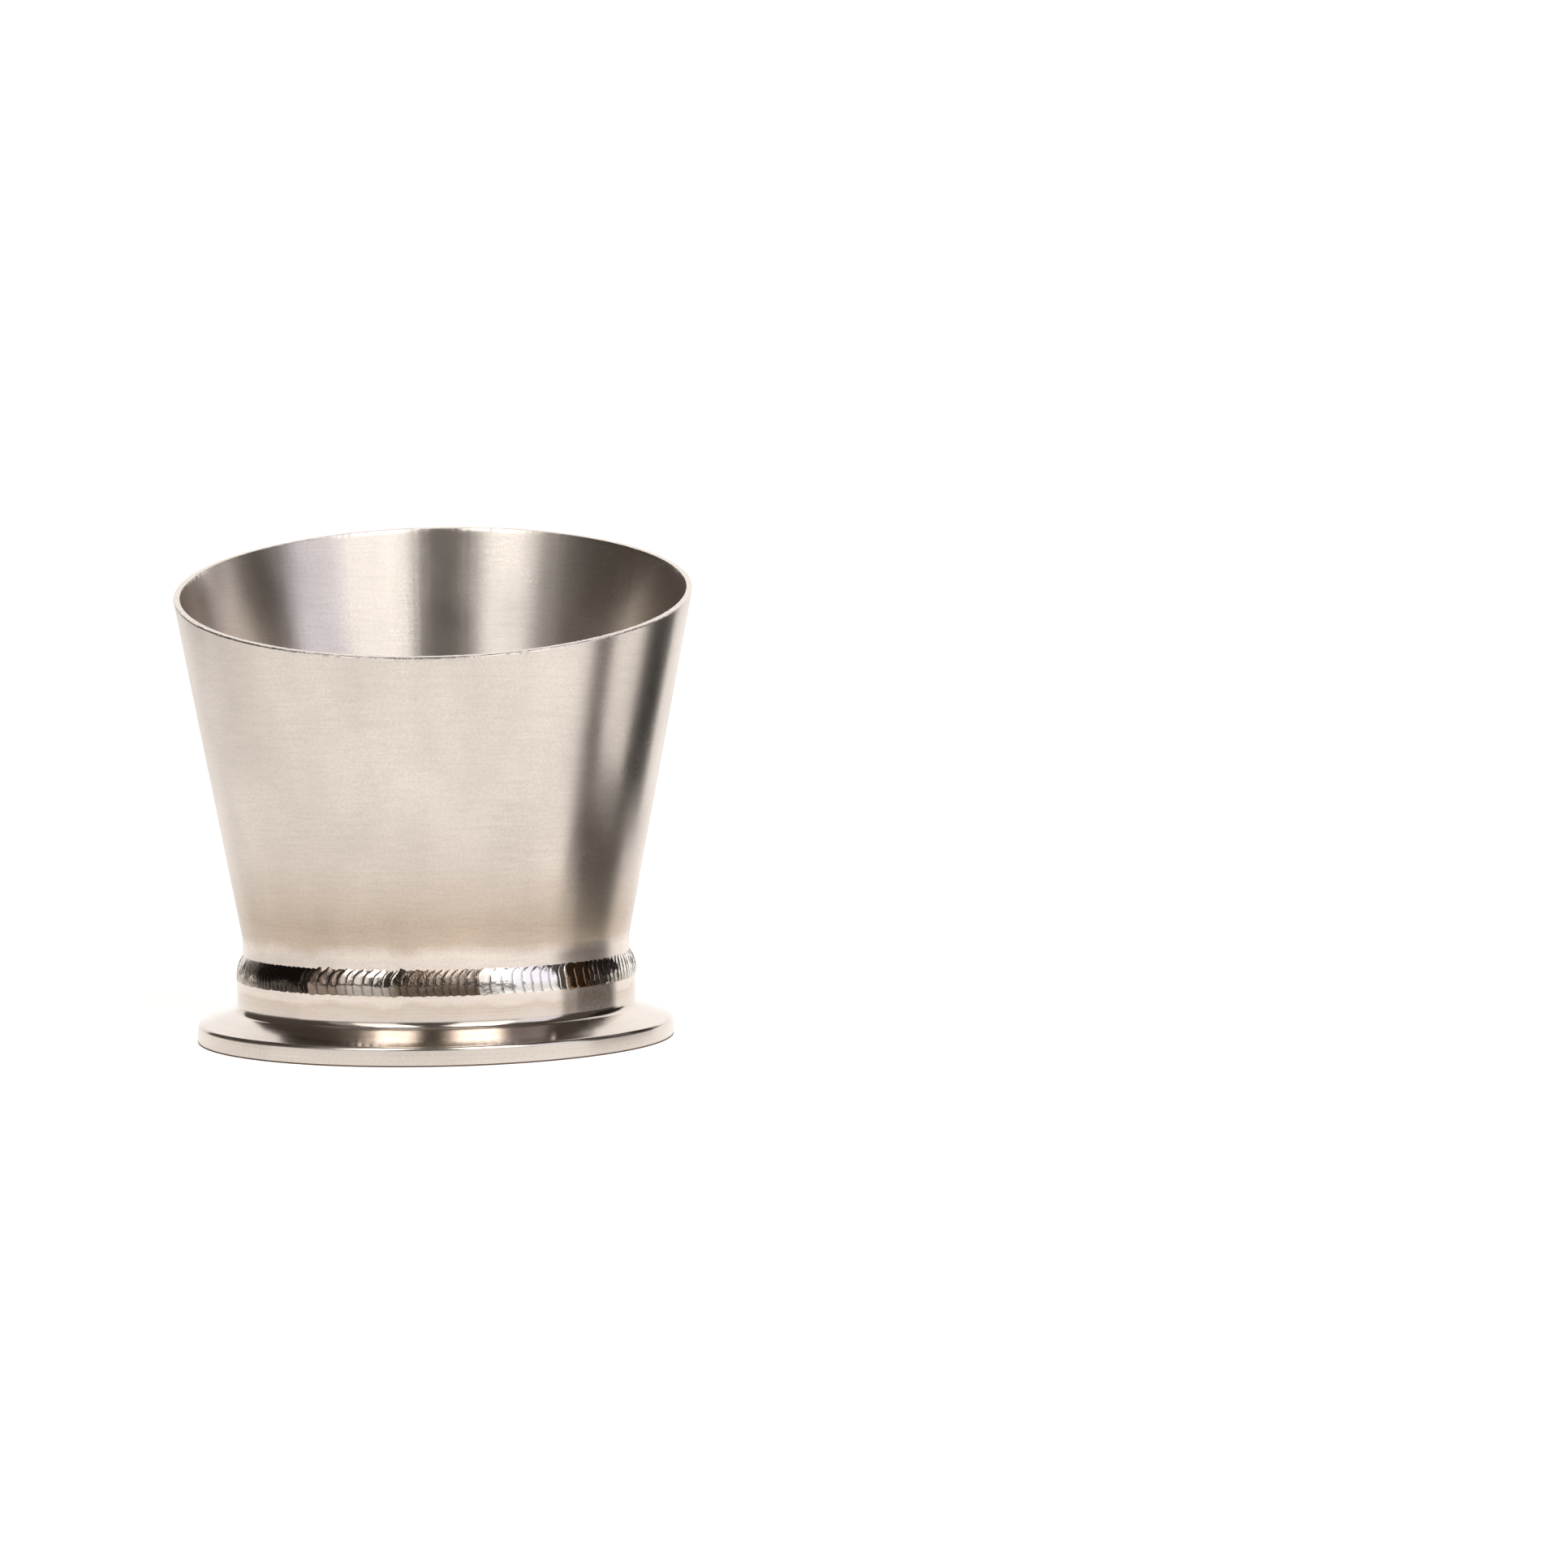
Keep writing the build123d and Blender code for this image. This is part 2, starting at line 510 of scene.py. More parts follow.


# %% [markdown]
# Across the bead, a point's place runs from -1 at the lower toe to 1 at the upper one. Each height
# below fades out towards the toes, so that the bead still meets the neck and the cuff. Past the upper
# toe the scales fan out over the cuff, and at the lower toe they hang down a little. The same pass
# writes the tint and the frost on each point, where the material reads them, and darkens the tint in
# the valley at each scale's rear edge as painted shade.


# %% Shape the crown
def crown_lift(run, distance, across, place, hump, height):
    """How far a point of the crown stands out from the plain bead."""
    middle = 1 - across**4
    crater = smooth(crater_length, 0, run.length - distance)
    lift = run.lift * height * (hump - 0.35) * middle
    lift += wave_height * noise.noise(place / wave_length + Vector((0, 0, across + 9))) * middle
    lift += run.crown * (1 - across**2) - crater_depth * crater * middle
    return lift + toe_swell * smooth(0.6, 1.0, -across)


def toe_spread(run, across, hump, height, ragged):
    """How far a point moves up past the upper toe, or down past the lower one."""
    if across > 0:
        return run.fan * height * (hump - 0.5 + 0.5 * ragged) * across**4
    return -(toe_drop + toe_scallop * height * (hump - 0.5 + ragged)) * across**4


def shape_crown(mesh, finish_with_painted_light):
    """Lifts the points of the crown into overlapping scales, and gives each its tint, its frost and a
    painted shade in the valleys between the scales.
    """
    for vertex in mesh.verts:
        radius = math.hypot(vertex.co.x, vertex.co.y)
        if radius < chord_radius(vertex.co.z) - same_place / 2:
            vertex[finish_with_painted_light] = hidden_finish
            continue
        angle = math.atan2(vertex.co.x, -vertex.co.y) - ring_start
        place = Vector((vertex.co.x, vertex.co.y, 0))
        across = 2 * (vertex.co.z - toe_low.y) / chord.y - 1
        bow = (bow_up if across > 0 else bow_down) * abs(across) ** 3
        wander = noise.noise(place / edge_wander_length + Vector((0, 0, across)))
        run, distance = find_run(angle * neck_radius - bow + edge_wander * wander)
        share, height = run.scale_at(distance)
        tint, frost = run.finish_at(distance)
        hump = math.sin(math.pi * share**steepness)
        lift = crown_lift(run, distance, across, place, hump, height)
        lift += lump_height * frost * noise.noise(vertex.co / lump_size) * (1 - across**4)
        spread = toe_spread(run, across, hump, height, noise.noise(place / ragged_length))
        scale = (radius + lift) / radius
        vertex.co = (vertex.co.x * scale, vertex.co.y * scale, vertex.co.z + spread)
        # painted shade: the colour darkens to 0.45 in the valley at each scale's rear edge
        painted_valley_shade = 0.45 + 0.55 * smooth(0.0, 0.5, hump)
        duller = 1 - 0.6 * frost * smooth(0.1, 0.7, -across)
        vertex[finish_with_painted_light] = (*(tint * painted_valley_shade * duller), frost)


# %% [markdown]
# Each run starts as the bead's section, turned about the axis to the run's start, and is then spun to
# its end. Spin turns clockwise for a positive angle about an axis that points up, so the angle is
# given backwards. The two ends are filled, the normals made to point out, and the crown shaped last.


# %% Spin a run
step_length = 0.09 * MM  # fine enough for some fifteen steps to a scale


def spin_run(run):
    """A run as a plain closed bead, still in edit mode."""
    bead = start_profile(run.name, *weld_points[0])
    draw_through(weld_points)
    close_profile(bead, weld_points[0], weld_points[-1])
    bpy.ops.mesh.select_all(action="SELECT")
    turned = Matrix.Rotation(run.start - math.pi / 2, 4, "Z")
    section = bmesh.from_edit_mesh(bead.data)
    bmesh.ops.transform(section, matrix=turned, verts=section.verts)
    bmesh.update_edit_mesh(bead.data)
    steps = round(run.length / step_length)
    bpy.ops.mesh.spin(
        steps=steps, angle=run.start - run.end, center=(0, 0, 0), axis=(0, 0, 1)
    )
    for end in (run.start, run.end):
        side = Vector((math.cos(end), math.sin(end), 0))  # square to the section's half plane
        pick(bead, "edges", lambda item, at: item.is_boundary and abs(at.dot(side)) < same_place / 5)
        bpy.ops.mesh.edge_face_add()
    bpy.ops.mesh.select_all(action="SELECT")
    bpy.ops.mesh.normals_make_consistent(inside=False)
    return bead


# %% Lay the runs
weld_beads = []
for run in runs:
    bead = spin_run(run)
    mesh = bmesh.from_edit_mesh(bead.data)
    shape_crown(mesh, mesh.verts.layers.float_color.new("finish_with_painted_light"))
    bmesh.update_edit_mesh(bead.data)
    finish_piece(bead, smooth_angle=50)
    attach(bead, "root")
    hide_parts(run.node)
    weld_beads.append(bead)

# %% [markdown]
# The ferrule and the cone replace their own CAD nodes in the same way. Nothing on this part moves, so
# every piece rides on the root.

# %% Ferrule and cone in the frame
for piece, node, slot in (
    (ferrule, "clamp_ferrule", "turned_stainless"),
    (cone, "reducer_cone", "satin_stainless"),
):
    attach(piece, "root")
    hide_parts(node)

# %% [markdown]
# ## Steel
#
# All three finishes are the same chromium-nickel stainless steel, which is a slightly warm grey
# mirror. What differs is how the surface was made, so the colour is shared and the roughness, the
# grain and its direction change.
#
# A material is a tree of nodes. One function adds a node and fills its inputs: a number, colour or
# vector is set on the input, and a node or a socket is linked into it.


# %% Node tools
def add_node(tree, kind, inputs=None, **settings):
    """Adds one node with its settings. Inputs go by name, or by number where names repeat."""
    made = tree.nodes.new("ShaderNode" + kind)
    for name, value in settings.items():
        setattr(made, name, value)
    for name, value in (inputs or {}).items():
        if isinstance(value, bpy.types.Node):
            value = value.outputs[0]
        if isinstance(value, bpy.types.NodeSocket):
            tree.links.new(value, made.inputs[name])
        else:
            made.inputs[name].default_value = value
    return made


def new_material(name):
    """An empty material, with its output and a metal shader, and the shader's tree."""
    material = bpy.data.materials.new(name)
    material.use_nodes = True
    tree = material.node_tree
    tree.nodes.clear()
    shader = add_node(tree, "BsdfPrincipled", {"Metallic": 1.0})
    add_node(tree, "OutputMaterial", {"Surface": shader})
    return material, tree, shader


def dress(piece, material):
    """Gives the piece that one material."""
    piece.data.materials.clear()
    piece.data.materials.append(material)


steel_colour = "#D4CBC2"
print("steel in linear light:", [round(channel, 2) for channel in linear(steel_colour)[:3]])

# %% [markdown]
# ### Coordinates that go round the part
#
# Sheet is rubbed and turned metal is cut round the axis, so their grain is long round the part and
# fine across it. Two coordinates say that: one that barely changes round the part, from X and Y, and
# one that changes fast up the wall or out along a face, from Z plus the distance to the axis.


# %% Round-the-part coordinates
def grain_coordinates(tree, along, across):
    """Noise coordinates with cells that are along metres round the part and across metres wide."""
    place = add_node(tree, "TexCoord").outputs["Object"]
    split = add_node(tree, "SeparateXYZ", {0: place})
    x, y, z = split.outputs
    flat = add_node(tree, "CombineXYZ", {"X": x, "Y": y})
    radius = add_node(tree, "VectorMath", {0: flat}, operation="LENGTH").outputs["Value"]
    up_and_out = add_node(tree, "Math", {0: z, 1: radius}, operation="ADD")
    fast = add_node(tree, "Math", {0: up_and_out, 1: along / across}, operation="MULTIPLY")
    joined = add_node(tree, "CombineXYZ", {"X": x, "Y": y, "Z": fast})
    cells = add_node(tree, "VectorMath", {0: joined, "Scale": 1 / along}, operation="SCALE")
    return cells.outputs[0]


# %% [markdown]
# The streaks of light on such a grain stand square to it. An anisotropic shader makes them, once it
# knows which way is round the part.


# %% Grain of the shader
def grain_round_axis(tree, shader, anisotropy):
    """Stretches the shader's reflections up and down, square to a grain that goes round the axis."""
    round_part = add_node(tree, "Tangent", direction_type="RADIAL", axis="Z")
    tree.links.new(round_part.outputs[0], shader.inputs["Tangent"])
    shader.inputs["Anisotropic"].default_value = anisotropy
    shader.inputs["Anisotropic Rotation"].default_value = 0.25  # a quarter turn


# %% [markdown]
# ### Heat and pickling
#
# Welding heat leaves a straw to brown tint beside the bead. The maker brushed pickling gel over the
# joint, which took the tint off again next to the bead and left a pale band with a wavy tide line.
# Both depend only on the distance from the weld, so a height that a slow noise has pushed up and down
# looks up the colour in a ramp.

# %% Heat band
tide_size = 9 * MM  # how long a wave of the tide line is
tide_reach = 4.0 * MM  # how far the noise pushes the height, from its lowest to its highest


def heat_band(tree, place, middle, stops):
    """The colour of the steel at each distance from the weld's middle, as (distance, colour)."""
    height = add_node(tree, "SeparateXYZ", {0: place}).outputs["Z"]
    wave = add_node(
        tree, "TexNoise", {"Scale": 1 / tide_size, "Detail": 3.0, "Roughness": 0.55, "Vector": place}
    )
    push = add_node(
        tree,
        "Math",
        {0: wave, 1: tide_reach, 2: -middle - tide_reach / 2},
        operation="MULTIPLY_ADD",
    )
    away = add_node(tree, "Math", {0: height, 1: push}, operation="ADD")
    size = add_node(tree, "Math", {0: away}, operation="ABSOLUTE")
    reach = stops[-1][0]
    share = add_node(tree, "Math", {0: size, 1: reach}, operation="DIVIDE", use_clamp=True)
    ramp = add_node(tree, "ValToRGB", {0: share})
    elements = ramp.color_ramp.elements
    while len(elements) < len(stops):
        elements.new(0.5)
    for element, (distance, colour) in zip(elements, stops):
        element.position = distance / reach
        element.color = linear(colour)
    return ramp


weld_middle = (neck_toe_height + cuff_toe_height) / 2
print("the weld's middle is", round(weld_middle / MM, 2), "mm up")

# %% [markdown]
# ### Satin sheet
#
# The cone is cold-rolled sheet, blasted with fine glass bead: even, soft, with a grain like orange
# peel of about 0.4 mm. Under it the rolling and rubbing marks still run round the cone, so reflections
# are drawn out up and down the wall. The mill grain is far finer than a render shows, so it is drawn
# as coarse as it needs to be to be seen. The colour is also a little darker and lighter in faint tall
# blotches.

# %% Satin stainless colour
peel_size = 0.42 * MM
rubbing_length, rubbing_width = 6 * MM, 0.45 * MM
blotch_size = 12 * MM
sheet_heat = [
    (0.0, "#DED3C9"),
    (4.4 * MM, "#DED3C9"),
    (6.6 * MM, "#C0B09F"),
    (9.5 * MM, "#B9A999"),
    (14 * MM, "#C3B6A8"),
    (21 * MM, "#CFC4BA"),
    (34 * MM, steel_colour),
]


def sheet_colour(tree, place, peel, rubbing):
    """The heat tint, darkened a little by the peel, the rubbing and faint tall blotches."""
    tint = heat_band(tree, place, weld_middle, sheet_heat)
    grain = add_node(
        tree,
        "MapRange",
        {"From Min": 0.25, "From Max": 0.75, "To Min": 0.95, "To Max": 1.04, "Value": peel},
    )
    streak = add_node(
        tree,
        "MapRange",
        {"From Min": 0.25, "From Max": 0.75, "To Min": 0.95, "To Max": 1.03, "Value": rubbing},
    )
    # the colour is made a little darker and lighter in faint tall blotches
    tall = add_node(tree, "VectorMath", {0: place, 1: (1, 1, 0.4)}, operation="MULTIPLY")
    blotches = add_node(
        tree, "TexNoise", {"Scale": 1 / blotch_size, "Detail": 2.0, "Roughness": 0.45, "Vector": tall}
    )
    blotch_tone = add_node(
        tree,
        "MapRange",
        {"From Min": 0.3, "From Max": 0.7, "To Min": 0.9, "To Max": 1.04, "Value": blotches},
    )
    marks = add_node(tree, "Math", {0: grain, 1: streak}, operation="MULTIPLY")
    both = add_node(tree, "Math", {0: marks, 1: blotch_tone}, operation="MULTIPLY")
    return add_node(tree, "VectorMath", {0: tint, "Scale": both}, operation="SCALE")


# %% Satin stainless sheet
def satin_sheet():
    material, tree, shader = new_material("satin_stainless_sheet")
    place = add_node(tree, "TexCoord").outputs["Object"]
    rubbed = grain_coordinates(tree, rubbing_length, rubbing_width)
    peel = add_node(tree, "TexNoise", {"Scale": 1 / peel_size, "Detail": 0.0, "Vector": place})
    rubbing = add_node(tree, "TexNoise", {"Scale": 1.0, "Detail": 1.0, "Vector": rubbed})
    colour = sheet_colour(tree, place, peel, rubbing)
    tree.links.new(colour.outputs[0], shader.inputs["Base Color"])

    cloud = add_node(
        tree,
        "TexNoise",
        {"Scale": 1 / (22 * MM), "Detail": 4.0, "Roughness": 0.5, "Vector": place},
    )
    rough = add_node(
        tree,
        "MapRange",
        {"From Min": 0.3, "From Max": 0.7, "To Min": 0.24, "To Max": 0.34, "Value": cloud},
    )
    tree.links.new(rough.outputs[0], shader.inputs["Roughness"])

    relief = add_node(tree, "Math", {0: rubbing, 1: 0.5, 2: peel}, operation="MULTIPLY_ADD")
    bump = add_node(tree, "Bump", {"Strength": 0.22, "Distance": 0.012 * MM, "Height": relief})
    tree.links.new(bump.outputs[0], shader.inputs["Normal"])
    grain_round_axis(tree, shader, anisotropy=0.55)
    return material


dress(cone, satin_sheet())

# %% [markdown]
# ### Filed lip
#
# A file leaves bright strokes that run slantwise over the edge. They are a tenth of a millimetre wide
# and drawn three times as wide here.


# %% Filed stainless edge
def filed_edge():
    material, tree, shader = new_material("filed_stainless_edge")
    place = add_node(tree, "TexCoord").outputs["Object"]
    slanted = add_node(
        tree,
        "Mapping",
        {"Rotation": (0, math.radians(35), 0), "Scale": (1, 1, 0.25), "Vector": place},
    )
    strokes = add_node(
        tree,
        "TexNoise",
        {"Scale": 1 / (0.3 * MM), "Detail": 2.0, "Roughness": 0.7, "Vector": slanted},
    )
    rough = add_node(
        tree,
        "MapRange",
        {"From Min": 0.3, "From Max": 0.7, "To Min": 0.16, "To Max": 0.34, "Value": strokes},
    )
    tree.links.new(rough.outputs[0], shader.inputs["Roughness"])
    bump = add_node(tree, "Bump", {"Strength": 0.9, "Distance": 0.06 * MM, "Height": strokes})
    tree.links.new(bump.outputs[0], shader.inputs["Normal"])
    shader.inputs["Base Color"].default_value = linear("#DED6CE")
    return material


# %% File the lip
cone.data.materials.append(filed_edge())
filed_depth = 0.55 * MM  # past the broken edge, before the wall's own long faces
filed_faces = 0
for face in cone.data.polygons:
    below = max(depth_below_mouth(cone.data.vertices[v].co) for v in face.vertices)
    if below < filed_depth:
        face.material_index = 1
        filed_faces += 1
print("filed", filed_faces, "faces of the lip")

# %% [markdown]
# ### Turned ferrule
#
# The ferrule comes from a lathe: bright, with fine tool lines round it. A real feed mark is about a
# tenth of a millimetre, too fine to show, so the lines are drawn three times as wide. The lines turn
# a point of light into a streak square to them, which the anisotropic shader gives. The outer rim was
# left duller than the back of the flange, so the roughness goes by height.

# %% Turned stainless roughness
bar_heat = [
    (0.0, "#DCD1C7"),
    (3.6 * MM, "#DCD1C7"),
    (4.6 * MM, "#CDBFB1"),
    (6.4 * MM, "#D3C8BE"),
    (10 * MM, steel_colour),
]
bar_roughness = [  # height above the clamp face in millimetres, and the roughness there
    (0, 0.24),
    (2.9, 0.24),
    (3.5, 0.15),
    (6.4, 0.15),
    (7.4, 0.20),
]


def roughness_by_height(tree, place):
    """Looks the height up in a ramp that runs from the clamp face to the ferrule's end."""
    height = add_node(tree, "SeparateXYZ", {0: place}).outputs["Z"]
    worked = add_node(
        tree, "MapRange", {"From Max": ferrule_length, "To Max": 1.0, "Value": height}
    )
    by_height = add_node(tree, "ValToRGB", {0: worked})
    elements = by_height.color_ramp.elements
    while len(elements) < len(bar_roughness):
        elements.new(0.5)
    for element, (place_up, roughness) in zip(elements, bar_roughness):
        element.position = place_up * MM / ferrule_length
        element.color = (roughness, roughness, roughness, 1)
    return by_height


# %% Turned stainless bar
def turned_steel():
    material, tree, shader = new_material("turned_stainless_bar")
    place = add_node(tree, "TexCoord").outputs["Object"]
    lathe = grain_coordinates(tree, along=40 * MM, across=0.3 * MM)
    lines = add_node(
        tree, "TexNoise", {"Scale": 1.0, "Detail": 3.0, "Roughness": 0.7, "Vector": lathe}
    )
    tint = heat_band(tree, place, weld_middle, bar_heat)
    streak = add_node(
        tree,
        "MapRange",
        {"From Min": 0.3, "From Max": 0.7, "To Min": 0.92, "To Max": 1.04, "Value": lines},
    )
    colour = add_node(tree, "VectorMath", {0: tint, "Scale": streak}, operation="SCALE")
    tree.links.new(colour.outputs[0], shader.inputs["Base Color"])

    speck = add_node(tree, "TexNoise", {"Scale": 1 / (0.4 * MM), "Detail": 2.0, "Vector": place})
    patchy = add_node(
        tree,
        "MapRange",
        {"From Min": 0.3, "From Max": 0.7, "To Min": 0.85, "To Max": 1.15, "Value": speck},
    )
    by_height = roughness_by_height(tree, place)
    rough = add_node(tree, "Math", {0: by_height, 1: patchy}, operation="MULTIPLY")
    tree.links.new(rough.outputs[0], shader.inputs["Roughness"])

    bump = add_node(tree, "Bump", {"Strength": 0.4, "Distance": 0.01 * MM, "Height": lines})
    tree.links.new(bump.outputs[0], shader.inputs["Normal"])
    grain_round_axis(tree, shader, anisotropy=0.6)
    return material


dress(ferrule, turned_steel())

# %% [markdown]
# ### Weld metal
#
# Weld metal froze from liquid, so it is the brightest steel on the part: nearly a mirror on the
# scales, with a frost of tiny crystals and pits where the shielding gas ran thin. The frost comes in
# patches, more of them low on the bead. The tint and the amount of frost come from the attribute that
# each point of the crown was given. That tint is heat tint, in places a painted reflection, and it is
# darkened by painted shade in the valleys between the scales.


# %% Frost
def frost_share(tree, place, amount):
    """0 where the metal is clear and 1 where it is frosted, in patches of a few millimetres."""
    height = add_node(tree, "SeparateXYZ", {0: place}).outputs["Z"]
    patches = add_node(tree, "TexNoise", {"Scale": 1 / (5 * MM), "Detail": 3.0, "Vector": place})
    more_low_down = 0.05 / MM
    threshold = 0.77
    lower_half = add_node(
        tree,
        "Math",
        {0: height, 1: -more_low_down, 2: more_low_down * weld_middle - threshold},
        operation="MULTIPLY_ADD",
    )
    wetter = add_node(tree, "Math", {0: patches, 1: lower_half}, operation="ADD")
    summed = add_node(tree, "Math", {0: amount, 1: 0.5, 2: wetter}, operation="MULTIPLY_ADD")
    return add_node(tree, "MapRange", {"From Min": 0.0, "From Max": 0.16, "Value": summed})


# %% Bright weld metal
def weld_metal():
    material, tree, shader = new_material("bright_weld_metal")
    place = add_node(tree, "TexCoord").outputs["Object"]
    finish_with_painted_light = add_node(tree, "Attribute", attribute_name="finish_with_painted_light")
    frosted = frost_share(tree, place, finish_with_painted_light.outputs["Alpha"])
    warmer = add_node(  # a colour Mix has its factor at 0, its colours at 6 and 7 and its result at 2
        tree,
        "Mix",
        {0: frosted, 6: finish_with_painted_light.outputs["Color"], 7: linear("#EDE2D4")},
        data_type="RGBA",
        blend_type="MULTIPLY",
    )
    tree.links.new(warmer.outputs[2], shader.inputs["Base Color"])
    rough = add_node(tree, "MapRange", {"To Min": 0.13, "To Max": 0.26, "Value": frosted})
    tree.links.new(rough.outputs[0], shader.inputs["Roughness"])

    crystals = add_node(tree, "TexVoronoi", {"Scale": 1 / (0.34 * MM), "Vector": place})
    pits = add_node(tree, "TexNoise", {"Scale": 1 / (0.3 * MM), "Detail": 1.0, "Vector": place})
    relief = add_node(tree, "Math", {0: crystals.outputs["Distance"], 1: pits}, operation="ADD")
    depth = add_node(tree, "Math", {0: frosted, 1: 0.85, 2: 0.15}, operation="MULTIPLY_ADD")
    shaped = add_node(tree, "Math", {0: relief, 1: depth}, operation="MULTIPLY")
    bump = add_node(tree, "Bump", {"Strength": 0.8, "Distance": 0.07 * MM, "Height": shaped})
    tree.links.new(bump.outputs[0], shader.inputs["Normal"])
    return material


bead_metal = weld_metal()
for bead in weld_beads:
    dress(bead, bead_metal)
print("dressed", len(weld_beads), "runs of weld")

# %% [markdown]
# ## The studio
#
# Bare metal shows nothing but its surroundings, so the studio is most of its looks. The fitting
# stands on a seamless white sweep. Soft boxes in front make the bright bands inside the cone, and the
# dim room between them makes the dark ones.
#
# The sweep is a floor whose far edge is drawn up into a wall, with a wide bevel for the curve. The
# wall is narrower than the floor: past its sides the steel mirrors the dim room, which draws the
# part's outline.


# %% Sweep
def white_paper():
    material, tree, shader = new_material("white_paper_sweep")
    shader.inputs["Metallic"].default_value = 0.0
    shader.inputs["Base Color"].default_value = linear("#F3F1EF")
    shader.inputs["Roughness"].default_value = 0.9
    shader.inputs["Emission Color"].default_value = linear("#FFFDFB")
    shader.inputs["Emission Strength"].default_value = 0.57
    return material


floor_size, floor_middle = 4.0, -1.1
wall_left, wall_right, wall_height = -0.62, 1.0, 2.0


def at_wall_foot(item, at):
    """Whether an edge is the part of the floor's far edge that the wall stands on."""
    return at.y > 0.8 and abs(at.z) < 0.01 and wall_left < at.x < wall_right


deselect_everything()
bpy.ops.mesh.primitive_plane_add(size=floor_size, location=(0, floor_middle, 0))
sweep = bpy.context.object
sweep.name = "sweep"
bpy.ops.object.transform_apply(location=True)
bpy.ops.object.mode_set(mode="EDIT")
for side in (wall_left, wall_right):
    bpy.ops.mesh.select_all(action="SELECT")
    bpy.ops.mesh.bisect(plane_co=(side, 0, 0), plane_no=(1, 0, 0))
pick(sweep, "edges", at_wall_foot)
bpy.ops.mesh.extrude_region_move(TRANSFORM_OT_translate={"value": (0, 0, wall_height)})
pick(sweep, "edges", at_wall_foot)
bpy.ops.mesh.bevel(offset=0.4, segments=16, affect="EDGES")
bpy.ops.object.mode_set(mode="OBJECT")
bpy.ops.object.shade_smooth()
dress(sweep, white_paper())
print("the sweep has", len(sweep.data.polygons), "faces")

# %% [markdown]
# Part of the paper's light is its own, as fill, so it would also glow where the part stands on it. A
# thin darker disc that reaches just past the flange's edge stands in for the shade there, and gives
# the part a contact line.


# %% Contact shade
def shaded_paper():
    material, tree, shader = new_material("shaded_paper")
    shader.inputs["Metallic"].default_value = 0.0
    shader.inputs["Base Color"].default_value = linear("#A79D94")
    shader.inputs["Roughness"].default_value = 0.95
    return material


shade_width = 0.06 * MM
deselect_everything()
bpy.ops.mesh.primitive_circle_add(
    vertices=128, radius=flange_radius + shade_width, fill_type="NGON", location=(0, 0, 0.02 * MM)
)
shade = bpy.context.object
shade.name = "contact_shade"
bpy.ops.object.transform_apply(location=True)
dress(shade, shaded_paper())
print("the shade reaches", round(shade_width / MM, 2), "mm past the flange")

# %% [markdown]
# ### Lights
#
# Each soft box is placed by where it stands seen from the part, because that decides where its
# reflection lies. The two large ones make the bright bands inside the cone. The two small ones above
# them are seen in the flange's back by way of the neck, and make its two bright spots. The side
# boxes lift the edges, and a faint one overhead takes the black out of what faces up. An area
# light's energy is a power, so it is worked out from how bright the box should look and its area.


# %% Lights
def direction(azimuth, elevation):
    """Azimuth 0 is in front of the part, towards -Y, and 90 is to its right, towards +X."""
    a, e = math.radians(azimuth), math.radians(elevation)
    return Vector((math.sin(a) * math.cos(e), -math.cos(a) * math.cos(e), math.sin(e)))


def soft_box(name, azimuth, elevation, distance, width, height, brightness, colour="#FFFFFF"):
    """A soft box that faces the part. Brightness 1 looks as bright as white paper in this light."""
    data = bpy.data.lights.new(name, "AREA")
    data.shape = "RECTANGLE"
    data.size, data.size_y = width, height
    data.energy = brightness * math.pi * width * height
    data.color = linear(colour)[:3]
    lamp = bpy.data.objects.new(name, data)
    bpy.context.collection.objects.link(lamp)
    towards = direction(azimuth, elevation)
    lamp.location = towards * distance + Vector((0, 0, 0.05))
    lamp.rotation_euler = (-towards).to_track_quat("-Z", "Y").to_euler()
    lamp.visible_camera = False


soft_box("right_box", 33, 34, 1.3, 0.74, 1.10, 1.5)
soft_box("right_side_box", 65, 24, 1.3, 0.66, 0.95, 1.2, "#F0F1FF")
soft_box("left_box", -32, 33, 1.3, 0.58, 0.90, 1.5)
soft_box("left_side_box", -53, 28, 1.3, 0.36, 0.80, 0.30)
soft_box("left_top_box", -27, 50, 1.25, 0.42, 0.46, 3.4)
soft_box("right_top_box", 35, 50, 1.25, 0.46, 0.46, 3.4)
soft_box("far_right_box", 119, 20, 1.3, 0.26, 0.8, 0.65)
soft_box("overhead_box", -70, 72, 1.15, 0.9, 0.9, 0.12)

# %% [markdown]
# ### Cards
#
# Dark cards that stand close on the right, as black flags do in a studio, give the wall its dark
# edge. The camera doesn't see them and they cast no shadow, so they act only in the reflections.
# Each keeps one tone of its own, because a card in the light of the boxes would turn paler.


# %% Card tools
def glowing_board(name, tone):
    """A board of one tone that no light changes."""
    material = bpy.data.materials.new(name)
    material.use_nodes = True
    tree = material.node_tree
    tree.nodes.clear()
    glow = add_node(tree, "Emission", {"Color": linear(tone), "Strength": 1.0})
    add_node(tree, "OutputMaterial", {"Surface": glow})
    return material


def only_in_reflections(board):
    """Hides a board from the camera, the fill light and the shadows."""
    board.visible_camera = False
    board.visible_diffuse = False
    board.visible_shadow = False


def card(name, start, end, low, high, tone):
    """A standing card from one place on the floor to another, between two heights."""
    deselect_everything()
    width = (Vector(end) - Vector(start)).length
    middle = (Vector(start) + Vector(end)) / 2
    heading = math.atan2(end[1] - start[1], end[0] - start[0])
    bpy.ops.mesh.primitive_plane_add(
        size=1, location=(middle.x, middle.y, (low + high) / 2), rotation=(math.pi / 2, 0, heading)
    )
    board = bpy.context.object
    board.name = name
    board.scale = (width, high - low, 1)
    bpy.ops.object.transform_apply(location=True, rotation=True, scale=True)
    dress(board, glowing_board(name + "_board", tone))
    only_in_reflections(board)


